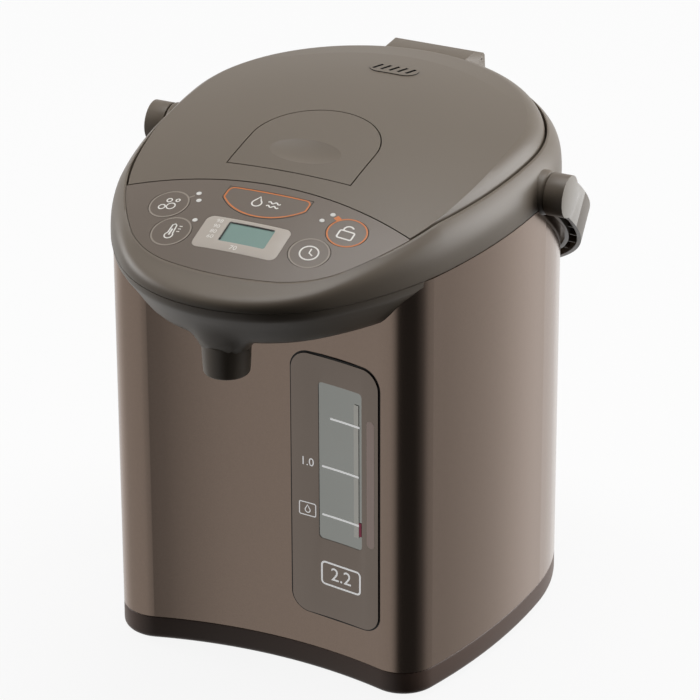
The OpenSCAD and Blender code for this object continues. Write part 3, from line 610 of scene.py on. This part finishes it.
def drawn_in(x, y, z):
    """Pulls a point of the chin down towards the spout."""
    away = math.hypot(x, y - SPOUT_Y)
    near = max(0, min(1, 1 - (away - SPOUT_R) / PULL_REACH))
    return x, y, z - PULL_DEPTH * near * near * (z < PULL_BELOW)


def chin_section(outer):
    """Down the chin, in under it to the sleeve, and back inside."""
    x, y, out_x, out_y = outer
    loop = [(x - out_x * u, y - out_y * u, z) for u, z in CHIN]
    x0, y0, z0 = loop[-1]
    for i in range(1, UNDER_STEPS + 1):
        t = i / UNDER_STEPS
        loop.append((x0 * (1 - NARROWING * t), y0 + (CHIN_BACK - y0) * t, z0))
    return [drawn_in(*p) for p in loop] + [(x0 * (1 - NARROWING), CHIN_BACK, CHIN_TOP)]


chin = shell([chin_section(p) for p in RING if p[1] < CHIN_FRONT_OF], closed=False)
dress(chin, "chin", "pot", taupe_abs, ["nozzle_cover"], sharp=50)

# %% [markdown]
# ## Spout
# The spout is a short tube that widens a little towards its root, which is hidden in the chin. Its
# mouth has a full round lip, because a sharp one would cut and would look thin. A cylinder with a
# bevel could give the lip. As a turned piece it needs one profile: down the bore, round the lip, up
# the outside and back across the root.

# %% Spout
BORE_R, BORE_TOP, LIP_Z, LIP_ROUND = 8.6, 188, 174, 1
spout = turned([(BORE_R, BORE_TOP), (BORE_R, 174.6)]
               + rounding(BORE_R + LIP_ROUND, LIP_Z, LIP_ROUND, 180, 360, 10)
               + [(10.9, 178), (11.1, 183), (11.3, 188), (9.6, 190), (BORE_R, BORE_TOP)],
               (0, SPOUT_Y, 0))
dress(spout, "spout", "pot", taupe_abs)

# %% [markdown]
# ## Base
# The brown base closes the pot below. Its lower edge is rounded and its upper edge has a fine
# chamfer, which makes the dark seam under the sleeve. Two bevels on the solid could give that, but
# their corners would meet where the outline bends. A shell with this section runs clean all round.

# %% Base
FOOT_ROUND, FOOT_Z, SPIGOT_TOP = 3.2, 5.4, 18.5


def base_section(outer):
    """Rounded section of the base ring, with its spigot inside the sleeve."""
    x, y, out_x, out_y = outer
    seam = [(1.4, SPIGOT_TOP), (1.4, 14.55), (0.5, 14.5), (0.15, 14.2), (0.05, 13.8), (0, FOOT_Z)]
    foot = [(FOOT_ROUND - r, z) for r, z in rounding(0, FOOT_Z, FOOT_ROUND, 0, -90)][1:]
    loop = seam + foot + [(3.4, FOOT_Z - FOOT_ROUND), (3.4, SPIGOT_TOP)]
    return [(x - out_x * u, y - out_y * u, z) for u, z in loop]


base = shell([base_section(p) for p in BODY])
dress(base, "base_rounded", "pot", base_pp, ["base_ring"], sharp=40)

# %% [markdown]
# ## Softened edges
# A moulded edge is never sharp: its rounding catches a line of light. Rounding each edge by hand
# would take long, and it would be lost with the next change to the solid. Here a copy of the solid
# is merged, its flat faces are joined, and a bevel modifier rounds each edge above a given angle.

# %% Softening helper
FLAT_ANGLE, EDGE_ANGLE = 0.3, 32


def softened(node, width, body, made, cuts=()):
    """A copy of a solid, trimmed by planes, with its edges rounded by a width in mm."""
    piece = merged_copy(node)
    bpy.ops.object.mode_set(mode="EDIT")
    for point, normal in cuts:
        bpy.ops.mesh.select_all(action="SELECT")
        bpy.ops.mesh.bisect(plane_co=metres(*point), plane_no=normal, use_fill=True,
                            clear_outer=True)
    bpy.ops.mesh.select_all(action="SELECT")
    bpy.ops.mesh.dissolve_limited(angle_limit=math.radians(FLAT_ANGLE))
    bpy.ops.object.mode_set(mode="OBJECT")
    modified(piece, "BEVEL", width=width * MM, segments=3, limit_method="ANGLE",
             angle_limit=math.radians(EDGE_ANGLE), use_clamp_overlap=True)
    return dress(piece, node + "_softened", body, made, [node], sharp=40)


print("edges sharper than", EDGE_ANGLE, "degrees are rounded")

# %% [markdown]
# ## Hinge block and handle
# The cover of the hinge slopes at its back and draws in at its ends, so three planes trim it before
# its edges are rounded. They stay clear of the pin inside. The handle is a bail with a flat plate
# at each end. The plates are polished, and their outer faces get a second finish that is also painted
# lighter than the handle: a painted highlight where the side lamps fall on them.

# %% Hinge block and handle
END_X, END_NORMAL = 25.7, (0.906, 0.423)
BACK_POINT, BACK_NORMAL = (0, 89.3, 242.6), (0, 0.415, 0.91)
PLATE_X, LOOKS_ASIDE = 105, 0.8
ends = [((side * END_X, HINGE_Y, HINGE_Z), (side * END_NORMAL[0], END_NORMAL[1], 0))
        for side in (-1, 1)]
softened("hinge_block", 1.4, "lid", taupe_abs, [(BACK_POINT, BACK_NORMAL)] + ends)
handle = softened("handle", 1.0, "bail", taupe_abs)
# painted highlight: the outer faces of the plates get a lighter finish where the side lamps fall on
# them
handle.data.materials.append(cap_abs_painted_light)
for face in handle.data.polygons:
    aside = abs(face.normal.x) > LOOKS_ASIDE and abs(face.center.x) > PLATE_X * MM
    face.material_index = int(aside)
print("polished faces", sum(face.material_index for face in handle.data.polygons))

# %% [markdown]
# ## Window frame and bezel
# Both are thin plates with an opening: one of acrylic round the window, and one of painted ABS
# round the display. The same helper rounds them, but their edges are finer than the handle's, so
# the bevel is narrower.

# %% Window frame and bezel
softened("window_frame", 0.3, "pot", smoke)
bezel = softened("lcd_bezel", 0.25, "pot", bezel_abs)
print("bezel's width in mm", round(bezel.dimensions.x / MM, 1))

# %% [markdown]
# ## Prints
# Outlines and signs are printed on buttons and window. An image could carry them, but it would be
# coarse close up. Each print is a thin band that follows the surface below it: its points are set
# out flat, and a function lifts them onto the dome, onto the hollow front of the window, or onto
# the sleeve, which lies 0.7 mm further back.

# %% Surfaces to print on
FRONT_Y, FRONT_R = -314.09, 216.4
DOME_LIFT, FRONT_LIFT, SECOND_LIFT, SLEEVE_LIFT = 0.06, 0.05, 0.1, -0.68


def on_dome(x, y):
    """A point just above the dome."""
    return metres(x, y, dome_z(x, y) + DOME_LIFT)


def on_front(x, z, lift=FRONT_LIFT):
    """A point just before the face of the window frame."""
    return metres(x, FRONT_Y + math.sqrt(FRONT_R ** 2 - x * x) - lift, z)


def higher(x, z):
    """A point before the other prints on the window."""
    return on_front(x, z, SECOND_LIFT)


def on_sleeve(x, z):
    """A point just before the sleeve's hollow front."""
    return on_front(x, z, SLEEVE_LIFT)


print("middle of the window's face in mm", [round(v / MM, 1) for v in on_front(0, 100)])

# %% [markdown]
# ## Bands and discs
# All prints of one ink become one piece, so their points and faces are gathered under the ink
# first. A band follows a line: at each of its points, two points are set out square to the run,
# half the width to either side. A curve object with a flat profile could do this too, but it would
# not follow the surface across its width.

# %% Printing helpers
DISC_STEPS, CORNER_STEPS = 32, 8
inks = {}


def band(ink, points, width, place, closed=False):
    """Prints a band of some width along points."""
    n = len(points)
    found, faces = inks.setdefault(ink, ([], []))
    first = len(found)
    for i, (x, y) in enumerate(points):
        after = points[(i + 1) % n] if closed or i + 1 < n else points[i]
        before = points[i - 1] if closed or i > 0 else points[i]
        run = Vector((after[0] - before[0], after[1] - before[1])).normalized() * width / 2
        found += [place(x + run.y, y - run.x), place(x - run.y, y + run.x)]
    for i in range(n if closed else n - 1):
        a, b = first + 2 * i, first + 2 * ((i + 1) % n)
        faces.append([a, b, b + 1, a + 1])


def disc(ink, x, y, radius, place):
    """Prints a filled disc."""
    found, faces = inks.setdefault(ink, ([], []))
    first = len(found)
    turns = [2 * math.pi * i / DISC_STEPS for i in range(DISC_STEPS)]
    found += [place(x + radius * math.cos(a), y + radius * math.sin(a)) for a in turns]
    faces.append(list(range(first, first + DISC_STEPS)))


def circle(x, y, radius, start=0, end=360, steps=72):
    """Points round a circle."""
    return [p[:2] for p in arc(x, y, radius, start, end, steps)]


def rounded(x, y, width, height, radius):
    """Points round a rectangle with round corners."""
    loop = []
    for i, (sx, sy) in enumerate(((1, 1), (-1, 1), (-1, -1), (1, -1))):
        loop += circle(x + sx * (width / 2 - radius), y + sy * (height / 2 - radius), radius,
                       90 * i, 90 * i + 90, CORNER_STEPS)
    return loop


print("points round a rectangle", len(rounded(0, 0, 2, 1, 0.1)))

# %% [markdown]
# ## Inks
# Screen inks are opaque and lie on the plastic like a thin skin, a little duller than it. The white
# ones glow faintly: painted light, which keeps their full white where the dim light in front of the
# pot would show them grey. More light would show their white too, but it would bleach the rest.
# The dark finish paints a shadow as well as seams, and the tube's finish is a painted highlight.

# %% Inks
# clear white, for the signs, with a faint glow that is painted light
white_ink = plain("screen ink, white", "#E6E2DB", 0.5, 0.0, 3, more={"Emission Strength": 0.12})
# white with mica, with a glow that is painted light, brighter than the metallic window under it
pearl_ink = plain("screen ink, pearl white", "#FFFFFF", 0.4, 0.6, 3, 0.01,
                  {"Emission Strength": 0.25})
# a little lighter than the buttons, so that their rings show softly
grey_ink = plain("screen ink, warm grey", "#A3988C", 0.5, 0.0, 3)
# the one warm colour, for the two buttons that give water
orange_ink = plain("screen ink, orange", "#DD8347", 0.5, 0.0, 3)
# the small mark at the lowest level, with a metallic sheen
red_ink = plain("screen ink, red", "#B8506A", 0.5, 0.5, 3)
# almost black, for the seam round the window, and for a painted shadow on the display
seam_ink_and_painted_shadow = plain("screen ink, dark brown", "#231E1B", 0.5, 0.0, 3)
# a pale shimmer on the brown window
strip_ink = plain("screen ink, pearl taupe", "#BDAAA2", 0.45, 0.7, 3)
# a painted highlight: the tube behind the window shows as a bright upright line
tube_highlight_ink = plain("acrylic tube edge, polished", "#DCDAD2", 0.2, 0.7, 3)
print("materials in all", len(bpy.data.materials))

# %% [markdown]
# ## Button outlines
# A printed ring runs round each small button, and an orange outline round the wide one that
# dispenses. That outline is a chain of arcs: corner, curved front edge, corner. Points lie along
# its straight back edge too, because one long face from end to end would sink into the dome.

# %% Button outlines
BUTTONS = {"unlock": (43.3, -105.4), "timer": (33.2, -123.3), "boil": (-42.8, -108.8),
           "warm": (-33.2, -126.2)}
RING_R, OUTLINE = 8.9, 0.75
for name, (x, y) in BUTTONS.items():
    band(orange_ink if name == "unlock" else grey_ink, circle(x, y, RING_R), OUTLINE, on_dome, True)
wide = (circle(17.2, -94.9, 2.8, 90, 0, 8) + circle(17.4, -98.2, 2.6, 0, -40, 5)
        + circle(0, -83.5, 25.3, -43, -137, 30) + circle(-17.4, -98.2, 2.6, -140, -180, 5)
        + circle(-17.2, -94.9, 2.8, 180, 90, 8) + [(i * 3.4 - 17, -92.1) for i in range(11)])
band(orange_ink, wide, OUTLINE, on_dome, True)
# short ties from a ring to the lamp beside it
band(orange_ink, [(36.7, -99.1), (34.4, -97.7)], 2.6, on_dome)
band(grey_ink, [(-35.8, -103.2), (-33.6, -101.4)], 0.7, on_dome)
print("outlines", {ink.name: len(v[1]) for ink, v in inks.items()})

# %% [markdown]
# ## Signs for water and lock
# Each button carries a plain sign in place of words. The wide one has a drop and two waves for
# water, and the one beside it an open lock. Signs are drawn as a pen would draw them, in lines of
# one width, because that is how such signs are made, and it needs few points.

# %% Signs for water and lock
def drop(x, y, size):
    """Outline of a water drop."""
    return [(x, y + size)] + circle(x, y - size * 0.25, size * 0.62, 50, -230, 20)


def sign(points, width, closed=False):
    """Prints one line of a sign on a button, in white."""
    band(white_ink, points, width, on_dome, closed)


sign(drop(-3.4, -99.2, 3.6), 0.7, True)
for dy in (0, -2.6):
    sign([(1.5 + i * 0.5, -98.2 + dy + 0.6 * math.sin(i * 1.05)) for i in range(13)], 0.7)
# the lock's body, and its bow, which ends short of the body on the right
x, y = BUTTONS["unlock"]
sign(rounded(x, y - 1.6, 7, 5, 0.9), 0.8, True)
sign([(x - 2.2, y + 0.9)] + circle(x, y + 2, 2.2, 180, 20, 12), 0.8)
print("faces in white", len(inks[white_ink][1]))

# %% [markdown]
# ## Signs for time, boiling and warmth
# The last three buttons have a clock, four rising bubbles for boiling, and a thermometer for
# keeping warm, each drawn about the middle of its button.

# %% Signs for time, boiling and warmth
x, y = BUTTONS["timer"]
sign(circle(x, y, 4.2), 0.75, True)
sign([(x, y + 2.7), (x, y), (x + 2, y - 1.2)], 0.7)
x, y = BUTTONS["boil"]
for dx, dy, radius in ((-2.6, -2.2, 1.5), (1.4, -1.2, 2), (-1, 2.6, 1.2), (3, 3, 0.9)):
    sign(circle(x + dx, y + dy, radius, steps=24), 0.6, True)
# bulb and tube in one line, the filling, and three marks beside the tube
x, y = BUTTONS["warm"]
tube = circle(x, y - 2.6, 1.9, 125, 415, 20) + [(x + 1, y + 4), (x, y + 4.8), (x - 1, y + 4)]
sign(tube, 0.65, True)
sign([(x, y - 2.4), (x, y + 1.6)], 0.9)
for i in range(3):
    sign([(x + 2.6, y + 0.2 + 1.7 * i), (x + 4, y + 0.2 + 1.7 * i)], 0.5)
print("faces in white", len(inks[white_ink][1]))

# %% [markdown]
# ## Window marks
# The window is smoked acrylic, printed on its back. A dark line runs round it where it sits in the
# sleeve, a painted highlight for the bright edge of the tube behind it and a pale strip stand beside
# the clear field, and white lines mark the water level in litres. Flat bands are enough, because a
# print has no thickness to see. The level lines cross other prints, so they lie a little higher.

# %% Window marks
WINDOW_X, WINDOW_Z, FULL_X, FULL_Z = 34.8, 100, 37.5, 56
TUBE_X, STRIP_X, STRIP_LOW, STRIP_HIGH = 46.1, 54, 79, 140
DROP_X, DROP_Z, RED_X = 19.6, 87, 48.2
LEVELS, LEVEL_END = ((137, 32), (111.5, 27.5), (86.5, 27.5)), 48
band(seam_ink_and_painted_shadow, rounded(WINDOW_X, WINDOW_Z, 47.6, 134.8, 9.4), 1.0, on_sleeve, True)
# a painted highlight for the bright edge of the tube behind the window
band(tube_highlight_ink, [(TUBE_X, 80), (TUBE_X, 114), (TUBE_X, 148)], 2.6, on_front)
band(strip_ink, [(STRIP_X, STRIP_LOW), (STRIP_X, 110), (STRIP_X, STRIP_HIGH)], 4.2, on_front)
for z in (STRIP_LOW, STRIP_HIGH):
    disc(strip_ink, STRIP_X, z, 2.1, on_front)
for z, start in LEVELS:
    steps = int((LEVEL_END - start) / 2) + 1
    band(pearl_ink, [(start + i * 2, z) for i in range(steps)], 1.0, higher)
# the frame round the pot's volume, and the lowest level's drop in its frame
band(pearl_ink, rounded(FULL_X, FULL_Z, 21, 11.6, 2), 0.9, on_front, True)
band(pearl_ink, rounded(DROP_X, DROP_Z, 8.6, 6.6, 0.8), 0.5, on_front, True)
band(pearl_ink, drop(DROP_X, DROP_Z, 2.1), 0.5, on_front, True)
band(red_ink, [(RED_X, 81), (RED_X, 88)], 1.4, on_front)
print("marks", {ink.name: len(v[1]) for ink, v in inks.items()})

# %% [markdown]
# ## Figures
# Plain figures say the temperatures beside the display and the litres on the window. Drawing each
# one from arcs would take long, so they are text objects. A text is made a mesh while it lies flat,
# and its points are then set on the surface, with the other prints of its ink.

# %% Figures
CAPITAL_HEIGHT = 0.7


def figures(ink, words, x, y, height, place):
    """Prints figures in the plain built-in letter, centred on a point."""
    bpy.ops.object.text_add()
    text = bpy.context.object
    text.data.body = words
    text.data.align_x, text.data.align_y = "CENTER", "CENTER"
    text.data.resolution_u = 3
    alone(text)
    bpy.ops.object.convert(target="MESH")
    text = bpy.context.object
    scale = height / CAPITAL_HEIGHT
    found, faces = inks.setdefault(ink, ([], []))
    first = len(found)
    found += [place(x + v.co.x * scale, y + v.co.y * scale) for v in text.data.vertices]
    faces += [[first + i for i in face.vertices] for face in text.data.polygons]
    bpy.data.objects.remove(text)


for i, words in enumerate(("98", "90", "80", "60")):
    figures(white_ink, words, -14, -115.8 - i * 3.4, 2.3, on_dome)
figures(white_ink, "70", -0.5, -130.6, 2.6, on_dome)
figures(pearl_ink, "1.0", 19.6, 111.5, 4.2, on_front)
figures(pearl_ink, "2.2", FULL_X, FULL_Z, 6.6, on_front)
# a painted shadow: the line of shade that the bezel throws on the display, down its left side and
# along its back
LCD_LEFT, LCD_BACK = -8.9, -115.5
band(seam_ink_and_painted_shadow, [(LCD_LEFT, -127), (LCD_LEFT, -121), (LCD_LEFT, LCD_BACK), (-2, LCD_BACK),
                (5, LCD_BACK), (12.5, LCD_BACK)], 0.7, on_dome)
print("faces in all inks", sum(len(v[1]) for v in inks.values()))

# %% [markdown]
# ## One piece for each ink
# The gathered points become one piece for each ink, named for the last part of the ink's name. Ink
# has almost no thickness, but a surface with no back shows wrong from some sides, so a solidify
# modifier gives it 0.04 mm.

# %% One piece for each ink
INK_THICKNESS = 0.04
for ink, (found, faces) in inks.items():
    piece = from_points(found, faces)
    modified(piece, "SOLIDIFY", thickness=INK_THICKNESS * MM, offset=-1)
    name = "print_" + ink.name.split(", ")[1].replace(" ", "_")
    dress(piece, name, "pot", ink)

# %% [markdown]
# ## Room
# The pot stands in a studio. Its lacquer mirrors the room, so the room's brightness round the pot
# decides the stripes on the sleeve: a black card in front on the right gives the dark corner, a
# bright wall behind on the right gives the light side. Walls could be built as objects, but the
# world can hold the same as a ramp over the direction, in degrees to the right of the front. The
# camera sees the world as plain white, and soft light from it is held back to a part.

# %% Room
ROOM = {-180: 1.1, -150: 0.9, -110: 0.8, -75: 0.5, -15: 0.46, -3: 0.32, 8: 0.03, 60: 0.03,
        82: 0.1, 100: 0.3, 122: 0.36, 138: 0.52, 152: 0.9, 180: 0.9}
TOP_LEVEL, OVERHEAD, DIFFUSE_PART = 1.3, 0.55, 0.22
WHITE = linear("#FFFFFF")

world = bpy.data.worlds.new("studio")
bpy.context.scene.world = world
world.use_nodes = True
tree = world.node_tree
tree.nodes.clear()
ray = add(tree, "ShaderNodeLightPath")
toward = add(tree, "ShaderNodeTexCoord").outputs["Generated"]
axes = add(tree, "ShaderNodeSeparateXYZ", {0: toward})
front = add(tree, "ShaderNodeMath", {0: axes.outputs["Y"], 1: -1}, operation="MULTIPLY")
turn = add(tree, "ShaderNodeMath", {0: axes.outputs["X"], 1: front.outputs[0]},
           operation="ARCTAN2")
turn_part = add(tree, "ShaderNodeMapRange", {
    "Value": turn.outputs[0], "From Min": -math.pi, "From Max": math.pi})
ramp = add(tree, "ShaderNodeValToRGB", {"Fac": turn_part.outputs[0]})
stops = ramp.color_ramp.elements
for azimuth, brightness in ROOM.items():
    at = (azimuth + 180) / 360
    stop = stops[0] if at == 0 else stops[-1] if at == 1 else stops.new(at)
    stop.color = [brightness / TOP_LEVEL] * 3 + [1]
print("stops of the room's brightness", len(stops))

# %% [markdown]
# ## Light from the room
# The ramp holds parts of the highest level. A second range fades them from the horizon upwards, so
# that the lid mirrors a dimmer ceiling. Light Path's rays then choose what the world shows to the
# camera, to soft light and to reflections.

# %% Light from the room
above = add(tree, "ShaderNodeMapRange", {
    "Value": axes.outputs["Z"], "From Min": -0.1, "From Max": 0.25, "To Min": TOP_LEVEL,
    "To Max": TOP_LEVEL * OVERHEAD})
mirrored = add(tree, "ShaderNodeMath", {0: ramp.outputs[0], 1: above.outputs[0]},
               operation="MULTIPLY")
soft = add(tree, "ShaderNodeMath", {0: mirrored.outputs[0], 1: DIFFUSE_PART}, operation="MULTIPLY")
strength = add(tree, "ShaderNodeMix", {
    "Factor": ray.outputs["Is Diffuse Ray"], "A": mirrored.outputs[0], "B": soft.outputs[0]})
room = add(tree, "ShaderNodeBackground", {"Color": WHITE, "Strength": strength.outputs[0]})
white = add(tree, "ShaderNodeBackground", {"Color": WHITE, "Strength": 1.0})
mixed = add(tree, "ShaderNodeMixShader", {
    0: ray.outputs["Is Camera Ray"], 1: room.outputs[0], 2: white.outputs[0]})
add(tree, "ShaderNodeOutputWorld", {"Surface": mixed.outputs[0]})
print("nodes of the room", len(tree.nodes))

# %% [markdown]
# ## Floor
# The pot stands on pale paper without an edge in sight. Paper that is lit enough to look white
# would throw light back on the pot and wash it out. So most of its white is a glow that only the
# camera sees, and the rest is matt paper, which keeps the pot's shadow.

# %% Floor
FLOOR_SIZE, GLOW_PART = 12, 0.9
bpy.ops.object.select_all(action="DESELECT")
bpy.ops.mesh.primitive_plane_add(size=FLOOR_SIZE)
floor = bpy.context.object
floor.name = "floor"
made, tree = new_material("matt white paper")
paper = add(tree, "ShaderNodeBsdfDiffuse", {"Color": linear("#E6E6E6")})
glow = add(tree, "ShaderNodeEmission", {"Color": WHITE, "Strength": 1.0})
mixed = add(tree, "ShaderNodeMixShader", {0: GLOW_PART, 1: paper.outputs[0], 2: glow.outputs[0]})
add(tree, "ShaderNodeOutputMaterial", {"Surface": mixed.outputs[0]})
floor.data.materials.append(made)
floor.visible_glossy = False
floor.visible_diffuse = False
print("floor of", FLOOR_SIZE, "m with", made.name)

# %% [markdown]
# ## Lamps
# Three square lamps stand round the pot: a large one above it, a strong one behind on the right and
# a weak one on the left, which opens the shadows. The world alone would light it evenly, without
# form. Large lamps throw soft shadows, as the cloth boxes of a studio do.

# %% Lamps
def lamp(name, spot, aim, size, power):
    """A square soft lamp at spot, turned to aim, in metres and watts."""
    bpy.ops.object.light_add(type="AREA", location=spot)
    made = bpy.context.object
    made.name = name
    made.data.size = size
    made.data.energy = power
    made.rotation_euler = (Vector(aim) - Vector(spot)).to_track_quat("-Z", "Y").to_euler()


lamp("top", (0.1, 0.3, 1.9), (0, 0, 0.2), size=1.4, power=20)
lamp("right", (1.3, 1.1, 0.45), (0, 0, 0.12), size=1.3, power=26)
lamp("left", (-1.5, -0.1, 0.7), (0, 0, 0.12), size=0.9, power=12)
bpy.context.scene.view_settings.view_transform = "Standard"
